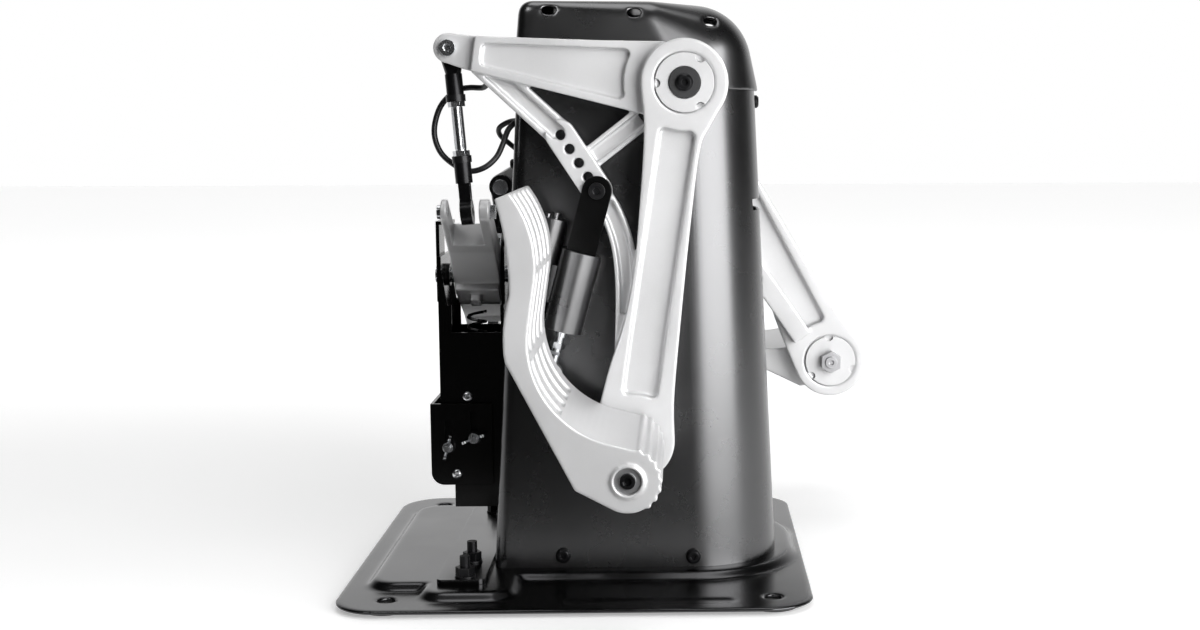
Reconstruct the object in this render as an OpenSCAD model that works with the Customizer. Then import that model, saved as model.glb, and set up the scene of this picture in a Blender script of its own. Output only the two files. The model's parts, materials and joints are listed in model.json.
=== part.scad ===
// Pendular rudder pedals: two hanging pedal arms on a bent sheet-metal tower, linked by a rocker.
// +X points to the user's seat, +Y to the user's right foot, +Z up. The floor is z = 0.
// The origin is the middle of the four mounting holes in the base plate, at floor level.
// The left arm is shown pushed forward and the right arm back.

/* [Base] */
// Side to side width of the base plate
base_w = 276; // [270:1:290]
// Thickness of the base plate
plate_t = 2.5; // [2:0.5:3]
// Height of the rubber feet
foot_h = 2.5; // [2:0.5:3]
// Front to back spacing of the mounting holes
hole_dx = 220; // [216:1:224]
// Side to side spacing of the mounting holes
hole_dy = 230; // [226:1:234]
// Radius of the mounting holes
hole_r = 4.5; // [3.5:0.25:5]

/* [Tower] */
// Height of the sheet-metal cover
cover_top = 296; // [294:1:297]
// Wall thickness of the cover
cover_t = 1.6; // [1.2:0.2:2]
// Top of the cap
cap_top = 346; // [342:1:350]

/* [Arms] */
// Distance of the main shaft behind the origin
pivot_x = 61; // [59:1:62]
// Height of the main shaft
pivot_z = 297; // [295:1:299]
// Distance from the main shaft to the heel axle
limb_len = 209; // [206:1:210]
// Distance from the main shaft to the tie rod bolt
crank_len = 137; // [135:1:138]
// Angle of each arm from the mid position, left forward and right back
swing = 18.3; // [17:0.1:19]
// Backward lean of both arms at the mid position
lean = 9.85; // [9:0.05:11]

/* [Pedals] */
// Width of each foot pedal
pedal_w = 103; // [95:1:110]
// Thickness of the tread
tread_t = 5; // [4:0.5:6]
// Radius of the heel
heel_r = 17; // [16.5:0.25:17.5]

/* [Linkage] */
// Sideways distance of the tie rods from the middle plane
tie_y = 60; // [59:0.5:61]
// Distance between the two ball joints of a tie rod
tie_len = 95; // [94:0.5:97]
// Where the rocker's ball joints stand, front to back
ball_x = -67; // [-68:0.5:-66]

/* [Hidden] */

$fn = 48;
left_angle = swing - lean;
right_angle = -swing - lean;
plate_top = foot_h + plate_t;
pad_top = plate_top + 4.5;

// Widths across the machine, measured outwards from the middle plane
crank_y0 = 64;
crank_y1 = 78;
limb_y0 = 74;
limb_y1 = 88;
boss_y0 = 60;
strut_y = 74;
pedal_y0 = 91;
pedal_y1 = pedal_y0 + pedal_w;

// Where the tie rods hang from the cranks, and the rocker that this asks for
left_top = [pivot_x - crank_len*cos(left_angle), pivot_z + crank_len*sin(left_angle)];
right_top = [pivot_x - crank_len*cos(right_angle), pivot_z + crank_len*sin(right_angle)];
function hang(top) = top[1] - sqrt(tie_len*tie_len - (ball_x - top[0])*(ball_x - top[0]));
rocker_z = (hang(left_top) + hang(right_top))/2;
rise = (hang(left_top) - hang(right_top))/2;
rocker_r = sqrt(tie_y*tie_y + rise*rise);
rocker_tilt = atan(rise/tie_y);

// Brake strut, in the arm's own plane: from the arm's fifth hole to the pedal's lug
first_hole = [-66.5, -39.8];
hole_step = [6.35, -7.15];
pin_at = first_hole + 4*hole_step;
lug_at = [-54, 30];
strut_v = [lug_at[0] - pin_at[0], lug_at[1] - limb_len - pin_at[1]];
strut_len = norm(strut_v);
strut_angle = atan(strut_v[0]/strut_v[1]);

// Routes of the two leads, from each crank round to the tower's front
right_route = [[-31, 62, 230], [-36, 62, 241], [-44, 61, 252], [-53, 58, 260], [-59, 52, 266],
    [-59, 46, 271], [-52, 42, 275], [-44, 41, 276], [-36, 41, 277]];
left_route = [[-53, -62, 298], [-57, -54, 295], [-66, -49, 295], [-74, -48, 293], [-83, -48, 284],
    [-87, -48, 270], [-84, -48, 258], [-76, -48, 250], [-67, -48, 246], [-58, -48, 248],
    [-51, -46, 254], [-47, -44.5, 262], [-43.5, -42, 271], [-36, -40.5, 277.5]];

// ---------- helpers ----------

// A curve through every point of p, n steps between each two
function blend4(a, b, c, d, t) =
    0.5*(2*b + (c - a)*t + (2*a - 5*b + 4*c - d)*t*t + (3*b - a - 3*c + d)*t*t*t);
function smooth(p, n = 5) = concat(
    [for (i = [0:len(p) - 2], j = [0:n - 1])
        blend4(p[max(i - 1, 0)], p[i], p[i + 1], p[min(i + 2, len(p) - 1)], j/n)],
    [p[len(p) - 1]]);
function arc(c, r, a0, a1, n = 16) =
    [for (i = [0:n]) let (a = a0 + (a1 - a0)*i/n) c + r*[cos(a), sin(a)]];
function backwards(p) = [for (i = [len(p) - 1:-1:0]) p[i]];
// A closed outline whose points [x, y, r] become round corners of radius r
function fillet(a, b, c, r, n = 4) = let (
        u = (a - b)/norm(a - b),
        v = (c - b)/norm(c - b),
        half = acos(u*v)/2,
        centre = b + (u + v)/norm(u + v)*r/sin(half),
        from = b + u*r/tan(half) - centre,
        to = b + v*r/tan(half) - centre,
        a0 = atan2(from[1], from[0]),
        turn = (atan2(to[1], to[0]) - a0 + 540)%360 - 180)
    [for (i = [0:n]) centre + r*[cos(a0 + turn*i/n), sin(a0 + turn*i/n)]];
function flat(p) = [p[0], p[1]];
function with_fillets(p) = [for (i = [0:len(p) - 1])
    each p[i][2] == undef ? [p[i]] :
        fillet(flat(p[(i + len(p) - 1)%len(p)]), flat(p[i]), flat(p[(i + 1)%len(p)]), p[i][2])];
function heading(p, i) = p[min(i + 1, len(p) - 1)] - p[max(i - 1, 0)];
function beside(p, d) =
    [for (i = [0:len(p) - 1]) let (t = heading(p, i)/norm(heading(p, i))) p[i] + d*[-t[1], t[0]]];

// A strip of width w along the path p
module band(p, w) {
    polygon(concat(beside(p, w/2), backwards(beside(p, -w/2))));
}

// A rectangle with rounded corners, from corner a to corner b
module rounded(a, b, r) {
    translate([a[0] + r, a[1]])
        square([b[0] - a[0] - 2*r, b[1] - a[1]]);
    translate([a[0], a[1] + r])
        square([b[0] - a[0], b[1] - a[1] - 2*r]);
    for (x = [a[0] + r, b[0] - r], y = [a[1] + r, b[1] - r])
        translate([x, y])
            circle(r);
}

// Turns an outline drawn in x and z into a solid between two distances from the middle plane
module across(y0, y1) {
    translate([0, y1, 0])
        rotate([90, 0, 0])
            linear_extrude(y1 - y0)
                children();
}

// The same for an outline drawn in y and z, between two places along the machine
module along(x0, x1) {
    translate([x0, 0, 0])
        rotate([90, 0, 90])
            linear_extrude(x1 - x0)
                children();
}

module rod_x(r, x0, x1, y, z) {
    translate([x0, y, z])
        rotate([0, 90, 0])
            cylinder(r = r, h = x1 - x0);
}

module rod_y(r, y0, y1, x, z) {
    translate([x, y0, z])
        rotate([-90, 0, 0])
            cylinder(r = r, h = y1 - y0);
}

module hex_y(r, y0, y1, x, z) {
    translate([x, y0, z])
        rotate([-90, 0, 0])
            cylinder(r = r, h = y1 - y0, $fn = 6);
}

// Both sides of the machine
module both() {
    children();
    mirror([0, 1, 0])
        children();
}

// Places a shape drawn in an arm's own frame: the shaft at the origin, y outwards
module on_arm(left) {
    translate([pivot_x, 0, pivot_z])
        rotate([0, left ? left_angle : right_angle, 0])
            mirror([0, left ? 1 : 0, 0])
                children();
}

module on_heel(left) {
    on_arm(left)
        translate([0, 0, -limb_len])
            children();
}

// The strut's own frame: the pin at the origin, the rod pointing down
module on_strut(left) {
    on_arm(left)
        translate([pin_at[0], strut_y, pin_at[1]])
            rotate([0, strut_angle, 0])
                children();
}

// The rocker's own frame: its shaft along x through the origin
module on_rocker() {
    translate([0, 0, rocker_z])
        rotate([-rocker_tilt, 0, 0])
            children();
}

// The tie rod's own frame: the upper ball at the origin, the rod pointing down
module on_tie(left) {
    top = left ? left_top : right_top;
    translate([top[0], left ? -tie_y : tie_y, top[1]])
        rotate([0, -asin((ball_x - top[0])/tie_len), 0])
            children();
}

// A round tube swept along a route that never runs along the direction side, with rings of n sides
module tube(route, r, side, n = 8) {
    last = len(route) - 1;
    rings = [for (i = [0:last]) let (
            t = heading(route, i)/norm(heading(route, i)),
            u = cross(t, side)/norm(cross(t, side)),
            v = cross(t, u))
        for (k = [0:n - 1]) route[i] + r*(cos(360*k/n)*u + sin(360*k/n)*v)];
    sides = [for (i = [0:last - 1], k = [0:n - 1], half = [0, 1]) half == 0 ?
        [i*n + k, i*n + (k + 1)%n, (i + 1)*n + k] :
        [i*n + (k + 1)%n, (i + 1)*n + (k + 1)%n, (i + 1)*n + k]];
    ends = [[for (k = [n - 1:-1:0]) k], [for (k = [0:n - 1]) last*n + k]];
    polyhedron(rings, concat(sides, ends), convexity = 6);
}

// ---------- base ----------

module raised(low, high, a, b, r) {
    hull() {
        translate([0, 0, plate_top - 0.1])
            linear_extrude(0.1)
                rounded(a, b, r);
        translate([0, 0, pad_top - 0.1])
            linear_extrude(0.1)
                rounded(a + [low, low], b - [low, low], max(r - high, 4));
    }
}

module base_plate() {
    color("#303030")
    difference() {
        union() {
            translate([0, 0, foot_h])
                linear_extrude(plate_t)
                    rounded([-140, -base_w/2], [134, base_w/2], 28);
            raised(4.5, 4, [-127, -100], [-40, 100], 18);
            raised(5, 5, [-94, -122], [-36, 122], 16);
            hull() {
                tower_slab(plate_top - 0.1, 14);
                tower_slab(pad_top - 0.1, 9);
            }
        }
        for (x = [-hole_dx/2, hole_dx/2], y = [-hole_dy/2, hole_dy/2])
            translate([x, y, -1])
                cylinder(r = hole_r, h = 20);
        // pressed beads beside the tower
        both()
            translate([0, 0, plate_top - 1])
                linear_extrude(2)
                    rounded([-8, 117], [88, 126], 4.4);
        // hollow underside of the raised areas
        translate([0, 0, foot_h - 1])
            linear_extrude(3.4)
                rounded([-118, -90], [-44, 90], 12);
        translate([0, 0, foot_h - 1])
            linear_extrude(3.4)
                rounded([-60, -60], [100, 60], 40);
        for (y = [-95, -62, 62, 95])
            translate([-68, y, 0])
                cylinder(r = 3, h = 20);
    }
}

module rubber_feet() {
    color("#1c1c1c")
    for (x = [-hole_dx/2, hole_dx/2], y = [-hole_dy/2, hole_dy/2])
        translate([x, y, 0])
            difference() {
                cylinder(r = 15, h = foot_h);
                translate([0, 0, -1])
                    cylinder(r = hole_r, h = foot_h + 2);
            }
}

// ---------- tower ----------

// The tower tapers upwards: its front and back faces and its sides lean inwards
function front_x(z) = -55 + 0.057*z;
function nose_x(z) = 117 - 0.0447*z;
function nose_r(z) = 50 - 0.02*z;
function side_w(z) = 68 - 0.048*z;

// Four thin discs at the corners of the tower's outline at height z, grown outwards by g
module tower_slab(z, g) {
    for (s = [-1, 1]) {
        translate([front_x(z) + 8, s*(side_w(z) - 8), z])
            cylinder(r = 8 + g, h = 0.1);
        translate([nose_x(z) - nose_r(z), s*(side_w(z) - nose_r(z)), z])
            cylinder(r = nose_r(z) + g, h = 0.1, $fn = 128);
    }
}

module tower_cover() {
    color("#1e1e20")
    difference() {
        hull() {
            tower_slab(pad_top, 0);
            tower_slab(cover_top - 0.1, 0);
        }
        hull() {
            tower_slab(pad_top - 20, -cover_t);
            tower_slab(cover_top + 20, -cover_t);
        }
        // open front between the folded edges
        translate([-70, -40.5, 0])
            cube([50, 81, 400]);
        // main shaft, side screws, back slot and back screw
        rod_y(12, -80, 80, pivot_x, pivot_z);
        for (p = [[-13, 17], [65, 16]])
            rod_y(2.6, -80, 80, p[0], p[1]);
        translate([60, -32, 221])
            cube([60, 64, 7]);
        rod_x(2.6, 60, 120, 0, 287);
        for (z = [37, 140, 250], y = [-43.5, 43.5])
            rod_x(1.6, -60, -30, y, z);
        for (y = [-41, 41])
            rod_x(3.2, -60, -30, y, 276);
    }
}

// The cap's outside, shrunk by g
module cap_form(g) {
    hull() {
        translate([0, 0, g > 0 ? -10 : 0])
            tower_slab(293, 2.4 - g);
        for (s = [-1, 1]) {
            translate([-29, s*42, cap_top - 8])
                sphere(r = 8 - g, $fn = 32);
            translate([40, s*36, cap_top - 14])
                sphere(r = 14 - g, $fn = 32);
            translate([66, s*13, cap_top - 37])
                sphere(r = 36 - g, $fn = 56);
        }
    }
}

module top_cap() {
    color("#18181a")
    difference() {
        cap_form(0);
        cap_form(2.2);
        translate([-100, -100, 200])
            cube([300, 200, 93]);
        // seat on the cover's upper edge
        hull() {
            tower_slab(285, 0.4);
            tower_slab(cover_top + 0.3, 0.4);
        }
        rod_y(12, -80, 80, pivot_x, pivot_z);
        translate([pivot_x - 12, -80, 280])
            cube([24, 160, 17]);
        // short vents on the shoulders
        both()
            for (p = [[-22, 40, cap_top - 8], [28, 38, cap_top - 9.5], [73, 28, cap_top - 14]])
                translate(p)
                    cube([7, 30, 4]);
    }
}

module tower_frame() {
    color("#5a5c60")
    difference() {
        union() {
            // foot flange and the tongue that runs under the front panel
            translate([0, 0, pad_top])
                linear_extrude(3)
                    union() {
                        rounded([-84, -102], [-56, 102], 4);
                        translate([-60, -40])
                            square([30, 80]);
                    }
            // web behind the front panel
            translate([-33, -42, pad_top])
                cube([3, 84, 292]);
            // cheeks that carry the shaft, with their feet
            both() {
                across(38, 42)
                    polygon([[-33, pad_top], [95, pad_top], [95, 20], [84, 270], [76, 316],
                        [30, 316], [-33, 296]]);
                translate([-30, 26, pad_top])
                    cube([125, 13, 3]);
                rod_y(15, 38, 44, pivot_x, pivot_z);
            }
        }
        rod_y(7.5, -60, 60, pivot_x, pivot_z);
        rod_x(7, -40, -25, 0, rocker_z);
        for (z = [60, 130, 230])
            rod_y(26, -50, 50, 28, z);
        for (y = [-95, -62, 62, 95])
            translate([-68, y, 0])
                cylinder(r = 3, h = 20);
        // lead holes
        for (y = [-30, 30])
            rod_x(4, -40, -25, y, 285);
    }
}

module frame_studs() {
    color("#101010")
    for (y = [-95, -62, 62, 95])
        translate([-68, y, 0]) {
            translate([0, 0, pad_top - 4.5])
                cylinder(r = 3, h = 20);
            translate([0, 0, pad_top + 3])
                cylinder(r = 6, h = 1);
            translate([0, 0, pad_top + 4])
                cylinder(r = 5.6, h = 5, $fn = 6);
        }
}

module cover_brackets() {
    color("#5a5c60")
    both()
        for (x = [-13, 65])
            difference() {
                union() {
                    translate([x - 7, 61, pad_top])
                        cube([14, 3, 16]);
                    translate([x - 7, 52, pad_top])
                        cube([14, 10, 3]);
                }
                rod_y(2.4, 50, 70, x, x < 0 ? 17 : 16);
            }
}

module front_panel() {
    lo = pad_top + 3.5;
    hi = 296;
    color("#202022")
    difference() {
        across(-46, 46)
            polygon([[front_x(lo) + 1.8, lo], [front_x(lo) + 3.3, lo],
                [front_x(hi) + 3.3, hi], [front_x(hi) + 1.8, hi]]);
        rod_x(7, -60, -30, 0, rocker_z);
        for (y = [-41, 41])
            rod_x(3.2, -60, -30, y, 276);
        for (p = housing_bolts)
            rod_x(3, -60, -30, p[0], p[1]);
        for (z = [37, 140, 250], y = [-43.5, 43.5])
            rod_x(1.6, -60, -30, y, z);
        translate([-60, 22, 30])
            cube([30, 13, 12]);
    }
}

module button_head(r, h) {
    difference() {
        union() {
            cylinder(r = r, h = h*0.55);
            translate([0, 0, h*0.55])
                cylinder(r1 = r, r2 = r*0.72, h = h*0.45);
        }
        translate([0, 0, h*0.35])
            cylinder(r = r*0.42, h = h, $fn = 6);
    }
}

module cover_screws() {
    color("#0c0c0c") {
        both()
            for (p = [[-13, 17], [65, 16]])
                translate([p[0], side_w(p[1]) + 0.3, p[1]])
                    rotate([-90, 0, 0]) {
                        button_head(4.4, 2.8);
                        translate([0, 0, -6])
                            cylinder(r = 2.2, h = 6);
                    }
        translate([nose_x(287) + 0.3, 0, 287])
            rotate([0, 90, 0]) {
                button_head(4, 2.6);
                translate([0, 0, -6])
                    cylinder(r = 2.4, h = 6);
            }
        for (z = [37, 140, 250], y = [-43.5, 43.5])
            translate([front_x(z) - 0.2, y, z])
                rotate([0, -90, 0]) {
                    button_head(3, 2);
                    translate([0, 0, -5.5])
                        cylinder(r = 1.4, h = 5.5);
                }
    }
}

module main_shaft() {
    color("#b8bbc0")
    difference() {
        rod_y(7.5, -88.4, 88.4, pivot_x, pivot_z);
        both()
            rod_y(2.5, 70, 90, pivot_x, pivot_z);
    }
}

module shaft_end_screws() {
    color("#3a3a3c")
    both() {
        difference() {
            rod_y(8.9, 88.5, 90, pivot_x, pivot_z);
            rod_y(2.5, 80, 95, pivot_x, pivot_z);
        }
        translate([pivot_x, 90, pivot_z])
            rotate([-90, 0, 0]) {
                button_head(4.9, 3);
                translate([0, 0, -19])
                    cylinder(r = 2.5, h = 19);
            }
    }
}

// ---------- electronics ----------

module control_board() {
    color("#1f5a34")
    union() {
        translate([-30, -30, 50])
            cube([1.6, 60, 70]);
        translate([-28.4, -12, 70])
            cube([3, 20, 20]);
        translate([-28.4, -26, 104])
            cube([6, 8, 12]);
        translate([-28.4, 16, 104])
            cube([6, 8, 12]);
    }
}

module rudder_sensor() {
    color("#1f5a34")
    union() {
        along(-15, -13.4)
            translate([-14, rocker_z - 12])
                square([28, 24]);
        along(-17.4, -15)
            translate([-3, rocker_z - 3])
                square([6, 6]);
        for (y = [-11, 11])
            rod_x(2.5, -30, -15, y, rocker_z - 9);
    }
}

module usb_socket() {
    color("#9a9da2")
    difference() {
        translate([-48.5, 22.5, 30.5])
            cube([15, 12, 11]);
        translate([-60, 24.5, 32.5])
            cube([24, 8, 7]);
    }
}

// ---------- rocker and tie rods ----------

module rocker() {
    r = rocker_r;
    color("#9b9b9b")
    on_rocker()
        difference() {
            union() {
                along(-82, -53.5)
                    union() {
                        polygon([[-r, 7.5], [-40, 8], [0, 13], [40, 8], [r, 7.5],
                            [r, -7.5], [40, -8], [0, -13], [-40, -8], [-r, -7.5]]);
                        circle(r = 14);
                        for (y = [-r, r])
                            translate([y, 0])
                                circle(r = 7.5);
                    }
                // short leg, and the lug for the centring spring
                along(-81, -54.5)
                    band([[0, 0], [0, -16.5]], 19);
                along(-72, -66)
                    band([[0, 0], [0, -21]], 9);
            }
            // fork slots for the tie rods
            both()
                translate([-78.4, r - 25, -20])
                    cube([18.9, 50, 40]);
            rod_x(5, -100, -40, 0, 0);
            for (y = [-r, r])
                rod_x(2.5, -100, -40, y, 0);
            rod_x(1.6, -80, -60, 0, -18.8);
        }
}

module rocker_shaft() {
    color("#b8bbc0")
        rod_x(5, -95, -18.5, 0, rocker_z);
}

module rocker_bushes() {
    color("#8a6a3a")
    for (x = [[-90.5, -86], [-34, -29]])
        translate([x[0], 0, rocker_z])
            rotate([0, 90, 0])
                difference() {
                    cylinder(r = 7, h = x[1] - x[0]);
                    translate([0, 0, -1])
                        cylinder(r = 5.05, h = 20);
                }
}

// Shoulder screws through the fork's ears
module clevis_screws() {
    color("#c9ccd0")
    on_rocker()
        for (y = [-rocker_r, rocker_r])
            translate([0, y, 0]) {
                rod_x(2.5, -82, -78.5, 0, 0);
                rod_x(4.2, -84.5, -82, 0, 0);
                rod_x(2.5, -59.4, -53.5, 0, 0);
                translate([-53.5, 0, 0])
                    rotate([0, 90, 0])
                        cylinder(r = 4.6, h = 3.2, $fn = 6);
            }
}

module tie_rod(left) {
    color("#c4c7cb")
    on_tie(left)
        union() {
            translate([0, 0, -66])
                cylinder(r = 3.2, h = 38);
            translate([0, 0, -58])
                cylinder(r = 3.4, h = 24, $fn = 6);
            for (z = [-33.5, -62])
                translate([0, 0, z])
                    cylinder(r = 5, h = 3, $fn = 6);
        }
}

// The upper eye turns about y and the lower one about x
module rod_ends(left) {
    color("#232325")
    on_tie(left)
        difference() {
            union() {
                rod_y(7.8, -3.8, 3.8, 0, 0);
                // flanks of the eye, flat like its faces
                intersection() {
                    translate([0, 0, -15])
                        cylinder(r1 = 4.4, r2 = 6.6, h = 10);
                    translate([-10, -3.7, -16])
                        cube([20, 7.4, 14]);
                }
                translate([0, 0, -29.5])
                    cylinder(r = 5, h = 15);
                translate([0, 0, -30.5])
                    cylinder(r = 5.7, h = 4);
                translate([0, 0, -78])
                    cylinder(r = 5, h = 13);
                translate([0, 0, -66])
                    cylinder(r = 5.7, h = 4);
                translate([-3.3, -4, -tie_len])
                    cube([6.6, 8, 18]);
                rod_x(7.6, -3.4, 3.4, 0, -tie_len);
            }
            rod_y(3, -10, 10, 0, 0);
            rod_x(2.6, -10, 10, 0, -tie_len);
            translate([0, 0, -66])
                cylinder(r = 3.2, h = 38);
        }
}

module tie_bolt(left) {
    color("#b0b3b8")
    on_arm(left) {
        rod_y(2.95, tie_y - 6, crank_y0 + 10, -crank_len, 0);
        rod_y(5, tie_y - 8.5, tie_y - 4.6, -crank_len, 0);
        difference() {
            rod_y(4.7, crank_y0 + 8.2, crank_y0 + 12, -crank_len, 0);
            hex_y(2.3, crank_y0 + 9.6, crank_y0 + 13, -crank_len, 0);
        }
    }
}

// ---------- centring and tension ----------

housing_bolts = [[-15, 136], [15, 136], [-15, 54], [15, 54]];
upper_stud = [-70, 81];
lower_stud = [-86, 75.5];
slot_travel = 15;

module tension_housing() {
    color("#1a1a1b")
    difference() {
        union() {
            // back plate with its prong behind the rocker
            along(-53, -50.8)
                union() {
                    translate([-22, 43])
                        square([44, 120]);
                    translate([-14, 160])
                        square([28, 33]);
                    translate([0, 193])
                        circle(r = 14);
                }
            // front plate with its prong before the rocker
            along(-91, -88.8)
                union() {
                    translate([-22, 66])
                        square([44, 127]);
                }
            // strap before it that carries the shaft's end
            along(-93.2, -91)
                translate([-11, 164])
                    square([22, 50]);
            translate([-93.2, -11, 211.8])
                cube([9, 22, 2.2]);
            both()
                across(20, 22)
                    polygon([[-90, 66], [-90, 193], [-85.5, 163], [-83, 163], [-83, 146], [-53, 146],
                        [-53, 160], [-52, 160], [-52, 36.5], [-83, 36.5], [-83, 66]]);
            translate([-83, -22, 36.5])
                cube([31, 44, 2.2]);
            for (p = housing_bolts)
                rod_x(5, -51, front_x(p[1]) + 1.45, p[0], p[1]);
        }
        rod_x(7, -91.1, -85, 0, rocker_z);
        rod_x(5.2, -95, -90, 0, rocker_z);
        rod_x(5.6, -60, -45, 0, rocker_z);
        for (p = housing_bolts)
            rod_x(2, -60, -30, p[0], p[1]);
        both()
            for (p = [upper_stud, lower_stud])
                rod_y(2, 5, 24, p[0], p[1]);
    }
}

module tension_slider() {
    color("#151516")
    difference() {
        union() {
            both()
                across(23, 25)
                    union() {
                        rounded([-97, 51], [-59, 102], 8);
                        translate([-80, 51])
                            square([21, 51]);
                        translate([-97, 80])
                            square([20, 22]);
                    }
            translate([-97, -25, 64])
                cube([2, 50, 38]);
        }
        both()
            for (p = [upper_stud, lower_stud]) {
                for (z = [p[1], p[1] + slot_travel])
                    rod_y(2.3, 10, 30, p[0], z);
                translate([p[0] - 2.3, 10, p[1]])
                    cube([4.6, 20, slot_travel]);
            }
        rod_x(2, -100, -90, 0, 70);
    }
}

// Threaded studs for the slots, and the bar that holds the lower end of the centring spring
module tension_studs() {
    color("#b0b3b8") {
        for (p = [upper_stud, lower_stud])
            both() {
                rod_y(2, 19, p[1] > 80 ? 33 : 35, p[0], p[1]);
                rod_y(2.6, 18.4, 20, p[0], p[1]);
            }
        for (p = [upper_stud, lower_stud])
            hex_y(4, 25.2, 28.2, p[0], p[1]);
        rod_y(2, -20, 20, -71, 62);
    }
}

module wing_nut(p, turn) {
    color("#c9ccd0")
    translate([p[0], -25.3, p[1]])
        rotate([90, 0, 0])
            rotate([0, 0, turn])
            difference() {
                union() {
                    cylinder(r1 = 4.2, r2 = 3.2, h = 4.5);
                    for (a = [0, 180])
                        rotate([0, 0, a])
                            hull() {
                                translate([2.5, -0.8, 1])
                                    cube([0.1, 1.6, 3]);
                                translate([6, -0.8, 5])
                                    rotate([-90, 0, 0])
                                        cylinder(r = 2.1, h = 1.6, $fn = 32);
                            }
                }
                translate([0, 0, -1])
                    cylinder(r = 2.05, h = 12);
            }
}

module spring_turns(from, to, r, wire, turns) {
    n = 9;
    tube([for (i = [0:turns*n]) let (a = 360*i/n, k = i/(turns*n))
        from + (to - from)*k + r*[cos(a), sin(a), 0]], wire, [0, 0, 1], 6);
}

module centring_spring() {
    peg = [-69, -17.5*sin(rocker_tilt), rocker_z - 17.5*cos(rocker_tilt)];
    color("#c4c7cb")
        spring_turns(peg + [0, 1, -8], [-70, 0, 67], 5.5, 1, 14);
}

// ---------- arms ----------

limb_edge_front = smooth([[-24, -7], [-19, -30], [-15.7, -70], [-13.5, -110], [-15, -141],
    [-19.8, -168], [-22.6, -192], [-23.8, -206]]);
limb_edge_back = smooth([[23.8, -206], [20, -182], [17.5, -140], [15, -82], [14.1, -37],
    [17.6, -23], [24, -7]]);
strut_c = smooth([[-66.5, -39.8], [-53.8, -54.1], [-41.1, -68.4], [-31, -81], [-22.5, -98], [-17, -120],
    [-13, -150], [-9, -185]]);
strut_a = [[-117, -5.5], first_hole];
strut_b = [[-47, -50], [-22, -24]];

module limb_outline() {
    polygon(concat(limb_edge_front, limb_edge_back));
    circle(r = 25, $fn = 96);
    translate([0, -limb_len])
        circle(r = 24, $fn = 96);
}

module limb_pocket() {
    polygon(with_fillets(concat(
        [[-10.3, -25.5, 3.4]],
        arc([0, 0], 27.5, 259, 281, 6),
        [[10.3, -25.5, 3.4], [10.3, 25.5 - limb_len, 3.4]],
        arc([0, -limb_len], 27.5, 79, 101, 6),
        [[-10.3, 25.5 - limb_len, 3.4]])));
}

module crank_outline() {
    polygon([[-crank_len, 8.6], [-119, 9.2], [-51, 16.9], [-17, 21.4], [0, 22], [0, -22],
        [-21.6, -21.1], [-126, -10.7], [-crank_len, -8.6]]);
    translate([-crank_len, 0])
        circle(r = 8.6);
}

module crank_pocket() {
    polygon(with_fillets(concat(
        [[-117.3, -7.1, 3], [-117.3, 5.5, 3], [-31.4, 14.7, 3]],
        arc([0, 0], 35, 165, 195, 8),
        [[-31.8, -15, 3]])));
}

module arm(left) {
    color("#d4d4d4")
    on_arm(left)
        difference() {
            union() {
                // the struts stand lower than the crank and the row of holes
                across(crank_y0, crank_y1 - 2.5) {
                    band(strut_a, 15.5);
                    band(strut_b, 13.5);
                    band(strut_c, 13);
                }
                across(crank_y0, crank_y1) {
                    crank_outline();
                    translate(first_hole)
                        circle(r = 8.7);
                    translate(pin_at)
                        circle(r = 8.7);
                    band([first_hole, pin_at], 17.4);
                }
                across(limb_y0, limb_y1)
                    limb_outline();
                rod_y(25, boss_y0, limb_y1, 0, 0, $fn = 96);
            }
            // pockets and channels on both faces
            across(crank_y1 - 4.5, crank_y1 + 20)
                crank_pocket();
            across(crank_y0 - 1, crank_y0 + 4.5)
                crank_pocket();
            across(limb_y1 - 5.5, limb_y1 + 1)
                limb_pocket();
            across(limb_y0 - 1, limb_y0 + 5)
                limb_pocket();
            for (y = [[crank_y1 - 6, crank_y1 + 1], [crank_y0 - 1, crank_y0 + 4]])
                across(y[0], y[1])
                    difference() {
                        union() {
                            band([strut_a[0] + [5, -3.4], strut_a[1]], 8.5);
                            band([[-50, -53], [-19, -21]], 8);
                            band([for (i = [12:28]) strut_c[i]], 7.4);
                        }
                        crank_outline();
                        limb_outline();
                        band([first_hole, pin_at], 17.4);
                        translate(pin_at)
                            circle(r = 8.7);
                    }
            // room for the brake fork's inner plate behind the row of holes
            across(crank_y0 - 1, 70)
                union() {
                    band([first_hole + [-3, 3.4], pin_at + [7, -8]], 21);
                    translate(pin_at)
                        circle(r = 13);
                    band([pin_at, pin_at + 0.32*strut_v], 19.6);
                }
            // the crank's end steps inwards
            across(crank_y0 + 8, crank_y1 + 1)
                translate([-160, -20])
                    square([38, 40]);
            // bores
            rod_y(10, 50, 95, 0, 0);
            rod_y(14, boss_y0 - 1, 68, 0, 0);
            rod_y(14, 79, 95, 0, 0);
            rod_y(17.4, 86, 95, 0, 0);
            rod_y(6, 60, 95, 0, -limb_len);
            rod_y(17.6, limb_y0 - 1, limb_y0 + 1.5, 0, -limb_len);
            rod_y(2.95, 50, 95, -crank_len, 0);
            for (i = [0:4])
                rod_y(3, 60, 95, first_hole[0] + i*hole_step[0], first_hole[1] + i*hole_step[1]);
        }
}

module ring_y(r0, r1, y0, y1, x, z) {
    difference() {
        rod_y(r1, y0, y1, x, z);
        rod_y(r0, y0 - 1, y1 + 1, x, z);
    }
}

module arm_bearings(left) {
    color("#a8abb0")
    on_arm(left)
        for (y = [61, 79])
            ring_y(7.55, 14, y, y + 7, 0, 0);
}

// A disc with three half-round notches in its rim
module notched_disc(y0, y1, z, bore) {
    difference() {
        rod_y(16.8, y0, y1, 0, z, $fn = 96);
        rod_y(bore, y0 - 1, y1 + 1, 0, z);
        for (a = [65, 190, 312])
            rod_y(2.6, y0 - 1, y1 + 1, 16.4*cos(a), z + 16.4*sin(a));
    }
}

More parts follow.
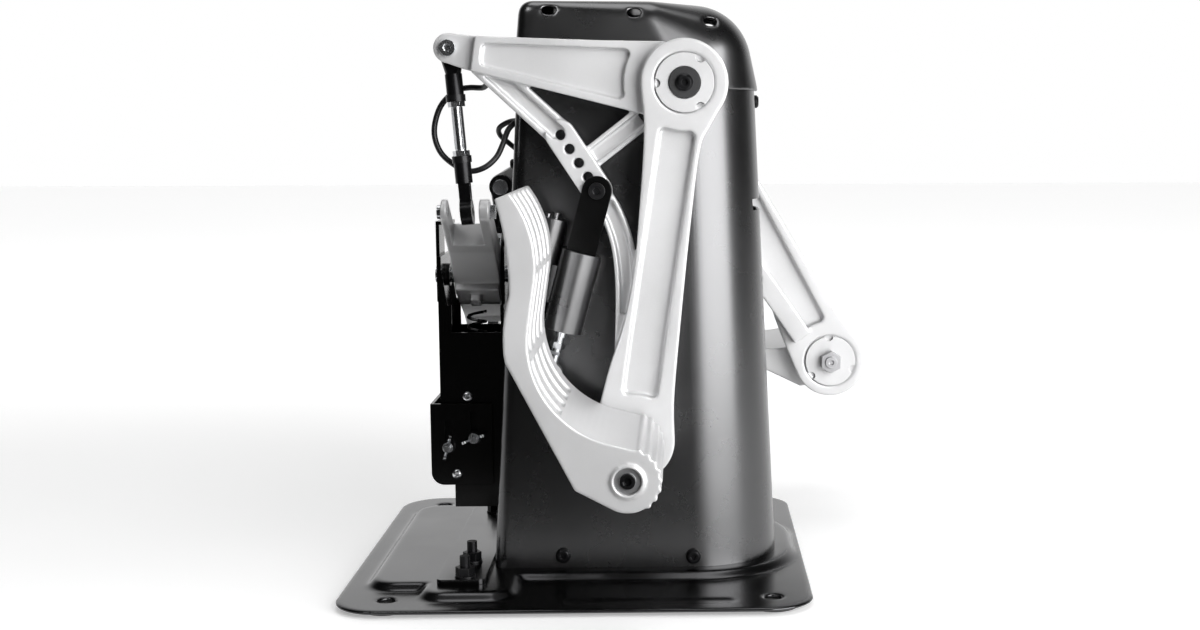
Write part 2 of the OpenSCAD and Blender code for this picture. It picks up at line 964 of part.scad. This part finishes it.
module bearing_cap(left) {
    color("#c4c4c4")
    on_arm(left)
        notched_disc(86.1, 88.9, 0, 9.2);
}

module heel_cap(left) {
    color("#c4c4c4")
    on_arm(left)
        notched_disc(72.9, 75.5, -limb_len, 6);
}

module heel_bushes(left) {
    color("#8a6a3a")
    on_heel(left) {
        ring_y(4, 6, 75.6, 88.1, 0, 0);
        ring_y(4, 11, 88, 90.9, 0, 0);
    }
}

module brake_pin(left) {
    color("#101010")
    on_arm(left)
        difference() {
            union() {
                rod_y(2.95, 66, 81.5, pin_at[0], pin_at[1]);
                rod_y(4.8, 81.4, 83.6, pin_at[0], pin_at[1]);
            }
            hex_y(2.4, 82.2, 85, pin_at[0], pin_at[1]);
        }
}

// ---------- foot pedals ----------

tread_curve = concat(
    backwards(arc([-122, 95], 61, 0, 46)),
    arc([-7, 72], 54, 180, 266, 20),
    [[0, 17]]);
back_curve = concat(
    [[-26.4, -8.7]],
    [[-70.7, 52.5]],
    backwards(arc([10, 75], 84, 173, 193, 6)),
    arc([-230, 68], 158, 7, 25, 6));

module pedal_outline() {
    polygon(concat(tread_curve, [[3, -16.6], [-6, -15.9]], back_curve));
    circle(r = heel_r, $fn = 96);
}

module pedal_tread_outline() {
    polygon(concat(tread_curve, backwards(beside(tread_curve, -tread_t))));
    circle(r = heel_r, $fn = 96);
}

// Long grip grooves that follow the tread between two places along its curve
module grip_grooves(first, last) {
    run = [for (i = [first:last]) tread_curve[i]];
    for (k = [0:3])
        across(pedal_y1 - 19 - k*23, pedal_y1 - 6 - k*23)
            union() {
                band(run, 3.4);
                for (p = [run[0], run[len(run) - 1]])
                    translate(p)
                        circle(r = 1.7);
            }
}

module pedal(left) {
    color("#d0d0d0")
    on_heel(left)
        difference() {
            union() {
                across(pedal_y0, pedal_y1)
                    pedal_tread_outline();
                // outer and inner side walls and two ribs between them
                across(pedal_y1 - 6, pedal_y1)
                    pedal_outline();
                across(pedal_y0, pedal_y0 + 5)
                    pedal_outline();
                for (y = [pedal_y0 + 35, pedal_y0 + 66])
                    across(y, y + 3)
                        pedal_outline();
                // transverse ribs round the heel
                for (a = [-42:17:77])
                    rod_y(1.7, pedal_y0, pedal_y1, (heel_r - 0.5)*cos(a), (heel_r - 0.5)*sin(a));
                // lug for the brake strut
                rod_y(8, 80, pedal_y0 + 5, lug_at[0], lug_at[1]);
                // ring round the axle's head
                rod_y(8.9, pedal_y1 - 1, pedal_y1 + 1.4, 0, 0);
            }
            grip_grooves(1, 13);
            grip_grooves(15, 20);
            grip_grooves(22, 29);
            rod_y(4.05, 60, 220, 0, 0);
            rod_y(7.1, pedal_y1 - 3.5, pedal_y1 + 3, 0, 0);
            for (a = [60, 120])
                translate([0, pedal_y1 - 0.2, 0])
                    rotate([0, -a, 0])
                        cube([12, 3, 0.8]);
            rod_y(2.95, 70, 90, lug_at[0], lug_at[1]);
        }
}

module heel_axle(left) {
    color("#8f9296")
    on_heel(left) {
        difference() {
            rod_y(4, 64.8, pedal_y1 - 3.5, 0, 0);
            rod_y(1.6, 60, 66, 0, 0);
        }
        // washer and socket head on the outer end
        rod_y(6.9, pedal_y1 - 3.5, pedal_y1 - 1.2, 0, 0);
        difference() {
            rod_y(4.1, pedal_y1 - 1.3, pedal_y1 + 1, 0, 0);
            hex_y(2.2, pedal_y1 - 0.8, pedal_y1 + 2, 0, 0);
        }
        // nut on the inner end
        difference() {
            hex_y(7.5, 66.2, 72.6, 0, 0);
            rod_y(4, 60, 75, 0, 0);
        }
    }
}

// Bolt through the strut's eye and the pedal's lug
module lug_bolt(left) {
    color("#8f9296")
    on_heel(left) {
        rod_y(2.95, 68, 88, lug_at[0], lug_at[1]);
        hex_y(5.4, 65.8, 68.1, lug_at[0], lug_at[1]);
    }
}

// ---------- brake struts ----------

// Distances down the strut from its pin
body_top = 37;
body_end = 84;
sensor_x = -20.7;
sensor_y = -1.4;

module brake_fork(left) {
    color("#111112")
    on_strut(left)
        difference() {
            union() {
                for (y = [[-7.3, -4.3], [4.3, 7.3]])
                    across(y[0], y[1])
                        union() {
                            circle(r = 8.6);
                            translate([-8.6, -body_top])
                                square([17.2, body_top]);
                        }
                translate([-8.6, -7.3, -body_top])
                    cube([17.2, 14.6, 15]);
            }
            rod_y(3, -10, 10, 0, 0);
        }
}

module brake_cylinder(left) {
    color("#2c2c2e")
    on_strut(left)
        translate([0, 0, -body_end])
            difference() {
                union() {
                    cylinder(r = 12, h = body_end - body_top, $fn = 96);
                    // band that holds the sensor
                    translate([-22, -4, 14])
                        cube([14, 8, 22]);
                }
                translate([0, 0, 3])
                    cylinder(r = 10, h = body_end - body_top - 6);
                translate([0, 0, -1])
                    cylinder(r = 3.1, h = 6);
                translate([sensor_x, sensor_y, -5])
                    cylinder(r = 8.4, h = 80);
            }
}

module brake_rod(left) {
    color("#a8abb0")
    on_strut(left)
        difference() {
            union() {
                translate([0, 0, -strut_len + 5])
                    cylinder(r = 3, h = strut_len - 45 - 5);
                translate([0, 0, -47])
                    cylinder(r = 9.7, h = 5);
                translate([0, 0, -88])
                    cylinder(r = 3.9, h = 3);
                translate([0, 0, -95])
                    cylinder(r = 4.6, h = 3.5, $fn = 6);
                rod_y(7.4, -3.5, 3.5, 0, -strut_len);
                // plate that carries the sensor's plunger
                translate([-23.5, -4, -99])
                    cube([26, 7, 2]);
                translate([sensor_x, sensor_y, -99])
                    cylinder(r = 2, h = 24);
            }
            rod_y(4.2, -10, 10, 0, -strut_len);
        }
}

module brake_spring(left) {
    color("#c4c7cb")
    on_strut(left)
        spring_turns([0, 0, -48.5], [0, 0, -79.5], 7, 1.2, 6);
}

module brake_sensor(left) {
    color("#1c1c1e")
    on_strut(left)
        translate([sensor_x, sensor_y, 0])
            difference() {
                union() {
                    translate([0, 0, -79])
                        cylinder(r = 8.4, h = 57);
                    translate([1, 0, -22.5])
                        cylinder(r = 2.6, h = 4);
                    translate([-3.5, 0, -22.5])
                        cylinder(r = 1.8, h = 2.4);
                }
                translate([0, 0, -80])
                    cylinder(r = 2.1, h = 40);
            }
}

module lead(route, side) {
    color("#0e0e0e")
        tube(smooth(route, 3), 1.7, side);
}

// ---------- the list of parts ----------

base_plate();
rubber_feet();
tower_frame();
frame_studs();
cover_brackets();
front_panel();
tower_cover();
top_cap();
cover_screws();
main_shaft();
shaft_end_screws();
control_board();
rudder_sensor();
usb_socket();
rocker();
rocker_shaft();
rocker_bushes();
clevis_screws();
tension_housing();
tension_slider();
tension_studs();
wing_nut(upper_stud, 20);  // upper_wing_nut
wing_nut(lower_stud, 75);  // lower_wing_nut
centring_spring();
arm(true);  // left_arm
arm(false);  // right_arm
arm_bearings(true);  // left_arm_bearings
arm_bearings(false);  // right_arm_bearings
bearing_cap(true);  // left_bearing_cap
bearing_cap(false);  // right_bearing_cap
heel_cap(true);  // left_heel_cap
heel_cap(false);  // right_heel_cap
heel_bushes(true);  // left_heel_bushes
heel_bushes(false);  // right_heel_bushes
pedal(true);  // left_pedal
pedal(false);  // right_pedal
heel_axle(true);  // left_heel_axle
heel_axle(false);  // right_heel_axle
lug_bolt(true);  // left_lug_bolt
lug_bolt(false);  // right_lug_bolt
tie_rod(true);  // left_tie_rod
tie_rod(false);  // right_tie_rod
rod_ends(true);  // left_rod_ends
rod_ends(false);  // right_rod_ends
tie_bolt(true);  // left_tie_bolt
tie_bolt(false);  // right_tie_bolt
brake_pin(true);  // left_brake_pin
brake_pin(false);  // right_brake_pin
brake_fork(true);  // left_brake_fork
brake_fork(false);  // right_brake_fork
brake_cylinder(true);  // left_brake_cylinder
brake_cylinder(false);  // right_brake_cylinder
brake_rod(true);  // left_brake_rod
brake_rod(false);  // right_brake_rod
brake_spring(true);  // left_brake_spring
brake_spring(false);  // right_brake_spring
brake_sensor(true);  // left_brake_sensor
brake_sensor(false);  // right_brake_sensor
lead(left_route, [0.1, 1, 0.1]);  // left_lead
lead(right_route, [0.4, 0.1, 1]);  // right_lead
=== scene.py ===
"""Hanging rudder pedals: looks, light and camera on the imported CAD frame. Lengths in metres."""
import json
import math

import bmesh
import bpy
from mathutils import Matrix, Vector


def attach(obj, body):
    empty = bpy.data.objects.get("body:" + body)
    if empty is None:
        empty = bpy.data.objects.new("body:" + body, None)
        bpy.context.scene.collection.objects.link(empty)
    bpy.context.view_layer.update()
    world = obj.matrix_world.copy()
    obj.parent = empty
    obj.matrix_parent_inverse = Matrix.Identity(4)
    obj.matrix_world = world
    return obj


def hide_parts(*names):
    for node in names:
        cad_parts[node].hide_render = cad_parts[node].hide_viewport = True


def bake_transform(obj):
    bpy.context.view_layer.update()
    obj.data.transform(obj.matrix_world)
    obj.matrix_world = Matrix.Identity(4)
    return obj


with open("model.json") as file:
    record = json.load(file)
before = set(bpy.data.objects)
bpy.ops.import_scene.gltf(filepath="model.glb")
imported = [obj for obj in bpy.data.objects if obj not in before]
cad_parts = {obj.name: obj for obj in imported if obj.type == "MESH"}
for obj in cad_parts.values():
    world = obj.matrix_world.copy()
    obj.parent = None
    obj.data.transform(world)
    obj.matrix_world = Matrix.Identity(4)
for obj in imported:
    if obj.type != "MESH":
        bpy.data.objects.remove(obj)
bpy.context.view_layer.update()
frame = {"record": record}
SIDES = ("left", "right")
MM = 0.001

# Distances from the middle plane, in metres, that part the dark head of a screw from its washer
SHAFT_WASHER_FACE = 0.09005
HEEL_WASHER_FACE = 0.19285

# The floor is painted dark before the object (painted shade), out of the picture, and glows pale
# towards the seat, in metres
PAINTED_SHADE_FLOOR_Y = -0.22
GLOWING_FLOOR_Y = -0.19
PAINTED_SHADE_FLOOR_X = 0.12
GLOWING_FLOOR_X = 0.22


# ---------------------------------------------------------------- camera

CAMERA_PLACE = (0.05889, -1.01568, 0.27581)
CAMERA_RIGHT = (0.99971, -0.02389, -0.00240)
CAMERA_LOOK = (0.02344, 0.99255, -0.11956)


def make_camera():
    data = bpy.data.cameras.new("camera")
    cam = bpy.data.objects.new("camera", data)
    bpy.context.collection.objects.link(cam)
    right = Vector(CAMERA_RIGHT).normalized()
    look = Vector(CAMERA_LOOK)
    look = (look - right * look.dot(right)).normalized()
    up = right.cross(look)
    turn = Matrix((right, up, -look)).transposed().to_4x4()
    cam.matrix_world = Matrix.Translation(CAMERA_PLACE) @ turn
    data.sensor_width = 36
    data.lens = 48.6
    data.shift_x = -0.1
    data.clip_start = 0.01
    bpy.context.scene.camera = cam


make_camera()


# ---------------------------------------------------------------- materials

class Mat:
    """A node material built step by step."""

    def __init__(self, name):
        self.mat = bpy.data.materials.new(name)
        self.mat.use_nodes = True
        self.tree = self.mat.node_tree
        self.shader = self.tree.nodes["Principled BSDF"]
        self.coord = self.tree.nodes.new("ShaderNodeTexCoord")

    def node(self, kind, **values):
        n = self.tree.nodes.new(kind)
        for key, value in values.items():
            if hasattr(n, key):
                setattr(n, key, value)
            else:
                n.inputs[key.replace("_", " ")].default_value = value
        return n

    def link(self, a, b):
        self.tree.links.new(a, b)

    def noise(self, scale, detail=4.0, rough=0.55, stretch=(1, 1, 1)):
        place = self.node("ShaderNodeMapping")
        place.inputs["Scale"].default_value = stretch
        self.link(self.coord.outputs["Object"], place.inputs["Vector"])
        n = self.node("ShaderNodeTexNoise", Scale=scale, Detail=detail, Roughness=rough)
        self.link(place.outputs["Vector"], n.inputs["Vector"])
        return n.outputs["Fac"]

    def ramp(self, value, low, high):
        """Stretches the middle of a noise to run from low to high."""
        n = self.node("ShaderNodeMapRange")
        n.inputs["From Min"].default_value = 0.32
        n.inputs["From Max"].default_value = 0.68
        n.inputs["To Min"].default_value = low
        n.inputs["To Max"].default_value = high
        self.link(value, n.inputs["Value"])
        return n.outputs["Result"]

    def band(self, name, values):
        """A smooth step; values are its start and end, and what it gives before and after."""
        n = self.node("ShaderNodeMapRange", interpolation_type="SMOOTHSTEP")
        n.name = name
        for key, value in zip(("From Min", "From Max", "To Min", "To Max"), values):
            n.inputs[key].default_value = value
        return n

    def mix(self, fac, a, b):
        n = self.tree.nodes.new("ShaderNodeMix")
        n.data_type = "RGBA"
        self.link(fac, n.inputs[0])
        for index, colour in ((6, a), (7, b)):
            if hasattr(colour, "is_linked"):
                self.link(colour, n.inputs[index])
            else:
                n.inputs[index].default_value = (*colour, 1)
        return n.outputs[2]

    def set(self, name, value):
        self.shader.inputs[name].default_value = value

    def bump(self, height, strength, distance):
        n = self.node("ShaderNodeBump", Strength=strength, Distance=distance)
        self.link(height, n.inputs["Height"])
        last = self.shader.inputs["Normal"]
        if last.is_linked:
            self.link(last.links[0].from_socket, n.inputs["Normal"])
        self.link(n.outputs["Normal"], last)


def surface(name, colour, metallic, rough, grain, depth, spread=0.12, rough_spread=0.08,
            wear_and_edge_highlight=None, specular=0.5, stretch=(1, 1, 1)):
    """Painted, cast or plated surface: grain, slow changes in colour and gloss, and worn edges
    lightened partly as wear and partly as a painted edge highlight.
    """
    m = Mat(name)
    fine = m.noise(grain, 3.0, 0.6, stretch)
    slow = m.noise(22.0, 5.0, 0.6, stretch)
    low = tuple(c * (1 - spread) for c in colour)
    high = tuple(min(1, c * (1 + spread)) for c in colour)
    base = m.mix(m.ramp(slow, 0.0, 1.0), low, high)
    base = m.mix(m.ramp(fine, 0.0, 0.5), base, high)
    # lighter convex edges by pointiness: partly wear, partly a painted edge highlight
    if wear_and_edge_highlight:
        edge = m.node("ShaderNodeNewGeometry")
        sharp = m.node("ShaderNodeMapRange")
        sharp.inputs["From Min"].default_value = 0.53
        sharp.inputs["From Max"].default_value = 0.62
        m.link(edge.outputs["Pointiness"], sharp.inputs["Value"])
        edge_wear_and_highlight = m.node("ShaderNodeMath", operation="MULTIPLY")
        m.link(sharp.outputs["Result"], edge_wear_and_highlight.inputs[0])
        m.link(m.ramp(m.noise(160.0), 0.0, 0.8), edge_wear_and_highlight.inputs[1])
        base = m.mix(edge_wear_and_highlight.outputs["Value"], base, wear_and_edge_highlight)
    m.link(base, m.shader.inputs["Base Color"])
    m.link(m.ramp(slow, rough - rough_spread, rough + rough_spread), m.shader.inputs["Roughness"])
    m.set("Metallic", metallic)
    m.set("Specular IOR Level", specular)
    m.bump(fine, 0.6, depth)
    return m.mat


CAST = surface("cast_silver", (0.62, 0.62, 0.625), 0.35, 0.4, 1500.0, 0.00006, 0.04, 0.05)
COVER = surface("powder_coat_black", (0.115, 0.115, 0.117), 1.0, 0.27, 2600.0, 0.000004, 0.05,
                0.015)
CAP = surface("moulded_black", (0.13, 0.13, 0.132), 1.0, 0.28, 2200.0, 0.000005, 0.05, 0.02)
BRACKET = surface("bracket_black", (0.002, 0.002, 0.002), 0.0, 0.2, 1900.0, 0.000008, 0.15,
                  0.03, specular=0.25)
BASE = surface("base_black", (0.07, 0.07, 0.072), 1.0, 0.23, 2300.0, 0.000003, 0.05, 0.03)
# black oxide with lighter edges: partly wear, partly a painted edge highlight
OXIDE = surface("black_oxide", (0.010, 0.010, 0.011), 0.7, 0.3, 900.0, 0.00001, 0.2, 0.08,
                wear_and_edge_highlight=(0.10, 0.10, 0.10))
ZINC = surface("bright_zinc", (0.66, 0.67, 0.69), 1.0, 0.22, 700.0, 0.00001, 0.08, 0.08)
WASHER = surface("zinc_washer", (0.42, 0.42, 0.43), 0.8, 0.35, 900.0, 0.00001, 0.08, 0.08)
STEEL = surface("rolled_steel", (0.20, 0.20, 0.21), 0.9, 0.38, 500.0, 0.00001, 0.1, 0.08,
                stretch=(1, 1, 12))
DULL = surface("phosphated_steel", (0.035, 0.035, 0.036), 0.6, 0.5, 800.0, 0.0001, 0.4, 0.1)
BRONZE = surface("sintered_bronze", (0.42, 0.27, 0.12), 1.0, 0.42, 1300.0, 0.00002, 0.12)
CYLINDER = surface("satin_gray", (0.17, 0.17, 0.172), 1.0, 0.3, 2100.0, 0.00003, 0.1, 0.04)
JACKET = surface("lead_jacket", (0.006, 0.006, 0.007), 0.0, 0.4, 1400.0, 0.00001, 0.1)
RUBBER = surface("foot_rubber", (0.016, 0.016, 0.016), 0.0, 0.75, 1100.0, 0.00015, 0.2)


def circuit():
    m = Mat("solder_resist")
    brick = m.node("ShaderNodeTexBrick", Scale=260.0)
    brick.inputs["Color1"].default_value = (0.010, 0.10, 0.035, 1)
    brick.inputs["Color2"].default_value = (0.014, 0.13, 0.045, 1)
    brick.inputs["Mortar"].default_value = (0.03, 0.21, 0.08, 1)
    m.link(m.coord.outputs["Object"], brick.inputs["Vector"])
    m.link(brick.outputs["Color"], m.shader.inputs["Base Color"])
    m.link(m.ramp(m.noise(400.0), 0.3, 0.45), m.shader.inputs["Roughness"])
    m.bump(brick.outputs["Fac"], 0.4, 0.0001)
    return m.mat


CIRCUIT = circuit()


# ---------------------------------------------------------------- building

def body_of(node):
    return next(b for b, nodes in frame["record"]["behaviour"]["bodies"].items() if node in nodes)


def link_object(name, mesh, mat):
    obj = bpy.data.objects.new(name, mesh)
    bpy.context.collection.objects.link(obj)
    mesh.materials.clear()
    mesh.materials.append(mat)
    return obj


def smooth(mesh):
    mesh.polygons.foreach_set("use_smooth", [True] * len(mesh.polygons))


def soften(node, mat, width, segments=2, angle=32):
    """Stands for a CAD node with its flat faces whole and its sharp edges rounded."""
    mesh = bpy.data.meshes.new(node + "_finish")
    bm = bmesh.new()
    bm.from_mesh(bpy.data.objects[node].data)
    bmesh.ops.remove_doubles(bm, verts=bm.verts, dist=2e-6)
    bmesh.ops.dissolve_limit(bm, angle_limit=math.radians(0.6), verts=bm.verts, edges=bm.edges)
    bmesh.ops.dissolve_degenerate(bm, dist=2e-6, edges=bm.edges)
    bm.to_mesh(mesh)
    bm.free()
    smooth(mesh)
    obj = link_object(node + "_finish", mesh, mat)
    if width:
        bevel = obj.modifiers.new("edges", "BEVEL")
        bevel.width = width
        bevel.segments = segments
        bevel.limit_method = "ANGLE"
        bevel.angle_limit = math.radians(angle)
        bevel.use_clamp_overlap = True
        bevel.miter_outer = "MITER_ARC"
    shade = obj.modifiers.new("shading", "WEIGHTED_NORMAL")
    shade.weight = 80
    shade.keep_sharp = True
    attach(obj, body_of(node))
    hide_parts(node)
    return obj


def cast(node, mat, cell=0.0006, rounds=8, keep=0.35):
    """Stands for a cast CAD node: the same solid with the small radii of a casting."""
    mesh = bpy.data.objects[node].data.copy()
    mesh.name = node + "_finish"
    source = bpy.data.objects.new(node + "_source", mesh)
    bpy.context.collection.objects.link(source)
    grid = source.modifiers.new("grid", "REMESH")
    grid.mode = "VOXEL"
    grid.voxel_size = cell
    relax = source.modifiers.new("relax", "SMOOTH")
    relax.factor = 0.5
    relax.iterations = rounds
    thin = source.modifiers.new("thin", "DECIMATE")
    thin.ratio = keep
    bpy.context.view_layer.update()
    seen = source.evaluated_get(bpy.context.evaluated_depsgraph_get())
    done = bpy.data.meshes.new_from_object(seen)
    bpy.data.objects.remove(source)
    smooth(done)
    obj = link_object(node + "_finish", done, mat)
    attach(obj, body_of(node))
    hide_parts(node)
    return obj


def paint(node, mat):
    """A CAD node that stays as it is, with its material."""
    data = bpy.data.objects[node].data
    data.materials.clear()
    data.materials.append(mat)


def two_tone(obj, mat, within):
    """Gives a second material to the faces nearer than a distance to the middle plane."""
    obj.data.materials.append(mat)
    for face in obj.data.polygons:
        if abs(face.center.y) < within:
            face.material_index = 1


def add(name, bm, mat, body):
    """An extra piece that rides on a body."""
    mesh = bpy.data.meshes.new(name)
    bm.to_mesh(mesh)
    bm.free()
    smooth(mesh)
    obj = link_object(name, mesh, mat)
    shade = obj.modifiers.new("shading", "WEIGHTED_NORMAL")
    shade.keep_sharp = True
    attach(obj, body)
    return obj


def lathe(bm, profile, origin, axis, steps):
    """Turns a profile of (radius, distance) pairs about an axis."""
    origin, axis = Vector(origin), Vector(axis).normalized()
    side = axis.orthogonal().normalized()
    other = axis.cross(side)
    rings = []
    for radius, along in profile:
        centre = origin + axis * along
        rings.append([bm.verts.new(centre + radius * (math.cos(t) * side + math.sin(t) * other))
                      for t in (2 * math.pi * k / steps for k in range(steps))])
    for a, b in zip(rings, rings[1:]):
        for k in range(steps):
            bm.faces.new((a[k], a[(k + 1) % steps], b[(k + 1) % steps], b[k]))
    bm.faces.new(rings[0][::-1])
    bm.faces.new(rings[-1])


def tube(bm, points, radius, steps):
    """A round tube along points, with flat ends."""
    points = [Vector(p) for p in points]
    last = None
    rings = []
    for i, p in enumerate(points):
        t = (points[min(i + 1, len(points) - 1)] - points[max(i - 1, 0)]).normalized()
        side = t.orthogonal().normalized() if last is None else (last - t * last.dot(t)).normalized()
        last = side
        other = t.cross(side)
        rings.append([bm.verts.new(p + radius * (math.cos(a) * side + math.sin(a) * other))
                      for a in (2 * math.pi * k / steps for k in range(steps))])
    for a, b in zip(rings, rings[1:]):
        for k in range(steps):
            bm.faces.new((a[k], a[(k + 1) % steps], b[(k + 1) % steps], b[k]))
    bm.faces.new(rings[0][::-1])
    bm.faces.new(rings[-1])


def curve_through(points, per_span):
    """Catmull-Rom points through the given ones."""
    pts = [Vector(p) for p in points]
    out = []
    for i in range(len(pts) - 1):
        a, b, c, d = pts[max(i - 1, 0)], pts[i], pts[i + 1], pts[min(i + 2, len(pts) - 1)]
        for j in range(per_span):
            t = j / per_span
            out.append(0.5 * (2 * b + (c - a) * t + (2 * a - 5 * b + 4 * c - d) * t * t
                              + (3 * b - a - 3 * c + d) * t ** 3))
    return out + [pts[-1]]


# ---------------------------------------------------------------- finishes of the CAD pieces

cast("base_plate", BASE, 0.0009, 26, 0.3)
soften("rubber_feet", RUBBER, 0.0005)
soften("tower_cover", COVER, 0.0003, 2, 40)
cast("top_cap", CAP, 0.0009, 36, 0.4)
soften("front_panel", COVER, 0.0002)
soften("tower_frame", BASE, 0.0004)
for piece in ("frame_studs", "cover_screws"):
    soften(piece, OXIDE, 0.0003)
two_tone(soften("shaft_end_screws", OXIDE, 0.0003), DULL, SHAFT_WASHER_FACE)
cast("rocker", CAST)
soften("tension_housing", BRACKET, 0.0004)
soften("tension_slider", BRACKET, 0.0004)
for piece in ("upper_wing_nut", "lower_wing_nut", "tension_studs", "clevis_screws", "main_shaft"):
    soften(piece, ZINC, 0.0002)
for piece in ("rocker_shaft", "usb_socket"):
    paint(piece, ZINC)
paint("centring_spring", OXIDE)
for piece in ("control_board", "rudder_sensor"):
    paint(piece, CIRCUIT)
paint("rocker_bushes", OXIDE)
paint("cover_brackets", STEEL)
for side in SIDES:
    cast(side + "_arm", CAST)
    cast(side + "_pedal", CAST)
    soften(side + "_bearing_cap", CAST, 0.0004)
    soften(side + "_heel_cap", CAST, 0.0004)
    paint(side + "_arm_bearings", ZINC)
    paint(side + "_heel_bushes", BRONZE)
    two_tone(soften(side + "_heel_axle", OXIDE, 0.0003), WASHER, HEEL_WASHER_FACE)
    for piece in ("tie_bolt", "tie_rod", "brake_rod", "lug_bolt"):
        soften(side + "_" + piece, ZINC, 0.0002)
    for piece in ("rod_ends", "brake_pin", "brake_fork"):
        soften(side + "_" + piece, BRACKET if piece == "brake_fork" else OXIDE, 0.0004)
    soften(side + "_brake_cylinder", CYLINDER, 0.0013, 4)
    soften(side + "_brake_sensor", CYLINDER, 0.0013, 4)
    paint(side + "_brake_spring", ZINC)


# ---------------------------------------------------------------- screws of the tension unit

def pan_screws(name, places, y, body):
    """Pan-head screws on both side faces of the tension unit; places are (x, z) in mm, y the face."""
    bm = bmesh.new()
    profile = [(3.3, -0.3), (3.3, 0.5), (3.1, 1.2), (2.5, 1.8), (1.5, 2.1), (1.3, 2.1), (1.3, 0.9)]
    for x, z in places:
        for turn in (-1, 1):
            lathe(bm, [(r * MM, d * MM) for r, d in profile],
                  (x * MM, turn * y * MM, z * MM), (0, turn, 0), 32)
    add(name, bm, ZINC, body)


pan_screws("slider_screws", [(-81, 58)], 25, body_of("tension_slider"))
pan_screws("housing_screws", [(-74, 106)], 22, body_of("tension_housing"))


# ---------------------------------------------------------------- leads

LEAD_R = 0.0017
LEFT_ROUTE = [(-53, -62, 298), (-57, -54, 295), (-66, -49, 295), (-74, -48, 293), (-83, -48, 284),
              (-87, -48, 270), (-84, -48, 258), (-76, -48, 250), (-67, -48, 246), (-58, -48, 248),
              (-51, -46, 254), (-47, -44.5, 262), (-43.5, -42, 271), (-36, -40.5, 277.5)]
RIGHT_ROUTE = [(-31, 62, 230), (-36, 62, 241), (-44, 61, 252), (-53, 58, 260), (-59, 52, 266),
               (-59, 46, 271), (-52, 42, 275), (-44, 41, 276), (-36, 41, 277)]


def make_lead(side, route):
    """A thin lead from the crank into the tower."""
    points = curve_through([Vector(p) * MM for p in route], 6)
    bm = bmesh.new()
    tube(bm, points, LEAD_R, 16)
    mesh = bpy.data.meshes.new(side + "_lead_jacket")
    bm.to_mesh(mesh)
    bm.free()
    smooth(mesh)
    lead = link_object(side + "_lead_jacket", mesh, JACKET)
    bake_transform(lead)
    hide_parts(side + "_lead")


make_lead("left", LEFT_ROUTE)
make_lead("right", RIGHT_ROUTE)


# ---------------------------------------------------------------- room and light

def floor_and_light():
    bm = bmesh.new()
    bmesh.ops.create_grid(bm, x_segments=1, y_segments=1, size=6)
    mesh = bpy.data.meshes.new("floor")
    bm.to_mesh(mesh)
    bm.free()
    m = Mat("floor")
    pale = m.mix(m.ramp(m.noise(3.0), 0.0, 1.0), (0.90, 0.90, 0.90), (0.93, 0.93, 0.93))
    m.set("Roughness", 0.6)
    m.set("Specular IOR Level", 0.2)
    m.set("Emission Color", (1, 1, 1, 1))
    split = m.node("ShaderNodeSeparateXYZ")
    m.link(m.coord.outputs["Object"], split.inputs[0])
    # the whole floor glows as painted light, brighter further back
    m.link(split.outputs["Y"], m.band("far", (0.0, 1.2, 0.32, 0.75)).inputs["Value"])
    # a painted dark patch on the floor before the object (painted shade, no glow), except to the
    # seat's side, keeps the reflection in the flat of the cover black
    painted_shade_near = m.band("painted_shade_near", (PAINTED_SHADE_FLOOR_Y, GLOWING_FLOOR_Y, 0.0, 1.0))
    m.link(split.outputs["Y"], painted_shade_near.inputs["Value"])
    side = m.band("side", (PAINTED_SHADE_FLOOR_X, GLOWING_FLOOR_X, 0.0, 1.0))
    m.link(split.outputs["X"], side.inputs["Value"])
    outside_painted_shade = m.node("ShaderNodeMath", operation="MAXIMUM")
    m.link(painted_shade_near.outputs["Result"], outside_painted_shade.inputs[0])
    m.link(side.outputs["Result"], outside_painted_shade.inputs[1])
    glow = m.node("ShaderNodeMath", operation="MULTIPLY")
    m.link(m.tree.nodes["far"].outputs["Result"], glow.inputs[0])
    m.link(outside_painted_shade.outputs["Value"], glow.inputs[1])
    m.link(glow.outputs["Value"], m.shader.inputs["Emission Strength"])
    # the painted dark patch (painted shade) also darkens the floor's colour to 0.03
    m.link(m.mix(outside_painted_shade.outputs["Value"], (0.03, 0.03, 0.03), pale),
           m.shader.inputs["Base Color"])
    floor = link_object("floor", mesh, m.mat)

    world = bpy.data.worlds.new("studio")
    bpy.context.scene.world = world
    world.use_nodes = True
    # white behind, dim before and above, so that the black sheet metal stays dark
    tree = world.node_tree
    coord = tree.nodes.new("ShaderNodeTexCoord")
    split = tree.nodes.new("ShaderNodeSeparateXYZ")
    ramp = tree.nodes.new("ShaderNodeMapRange")
    ramp.interpolation_type = "SMOOTHSTEP"
    ramp.inputs["From Min"].default_value = 0.45
    ramp.inputs["From Max"].default_value = 0.9
    ramp.inputs["To Min"].default_value = 0.02
    ramp.inputs["To Max"].default_value = 1.0
    tree.links.new(coord.outputs["Generated"], split.inputs[0])
    tree.links.new(split.outputs["Y"], ramp.inputs["Value"])
    tree.links.new(ramp.outputs["Result"], tree.nodes["Background"].inputs["Color"])

    def area(name, place, target, size, size_y, power):
        data = bpy.data.lights.new(name, "AREA")
        data.shape = "RECTANGLE"
        data.size = size
        data.size_y = size_y
        data.energy = power
        lamp = bpy.data.objects.new(name, data)
        bpy.context.collection.objects.link(lamp)
        lamp.location = place
        lamp.rotation_euler = (Vector(target) - Vector(place)).to_track_quat("-Z", "Y").to_euler()

    area("key", (1.3, -1.4, 0.55), (0.05, -0.05, 0.2), 1.8, 1.7, 70)
    area("fill", (-1.0, -1.3, 1.9), (0, 0, 0.2), 0.9, 0.7, 9)
    area("top", (0.1, 0.2, 2.2), (0, 0, 0.1), 1.4, 1.2, 12)


floor_and_light()
bpy.context.scene.view_settings.view_transform = "Standard"
